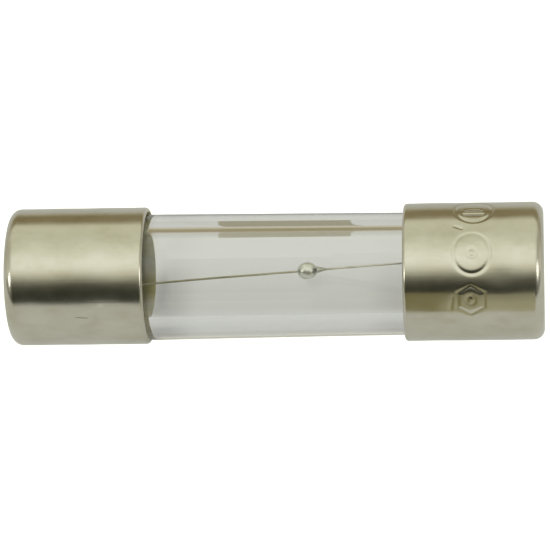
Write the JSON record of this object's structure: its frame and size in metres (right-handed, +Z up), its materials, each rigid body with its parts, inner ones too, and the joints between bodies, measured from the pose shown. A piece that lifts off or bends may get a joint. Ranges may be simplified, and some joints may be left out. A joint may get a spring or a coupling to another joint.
{
  "type": "cartridge fuse",
  "caption": "Miniature glass cartridge fuse: a clear tube with a plated cup-shaped cap on each end and a thin slanting wire carrying a tin bead.",
  "frame": {"origin": "on the fuse's axis, midway between its two end faces", "axes": "+X along the fuse towards the right cap, which is the one the bead is nearer to; +Z up"},
  "size_m": [0.02, 0.0052, 0.0052],
  "materials": {
    "plated_cap": "bright nickel plating over brass, faintly brushed by drawing",
    "clear_glass": "clear, fire-polished",
    "tinned_wire": "drawn, tinned",
    "tin": "bright, frozen from a drop",
    "solder": "satin, frozen"
  },
  "bodies": {
    "root": {"end_cap_left": "plated_cap", "end_cap_right": "plated_cap", "glass_tube": "clear_glass", "fuse_wire": "tinned_wire", "tin_bead": "tin", "solder_joint_left": "solder", "solder_joint_right": "solder"}
  },
  "joints": []
}
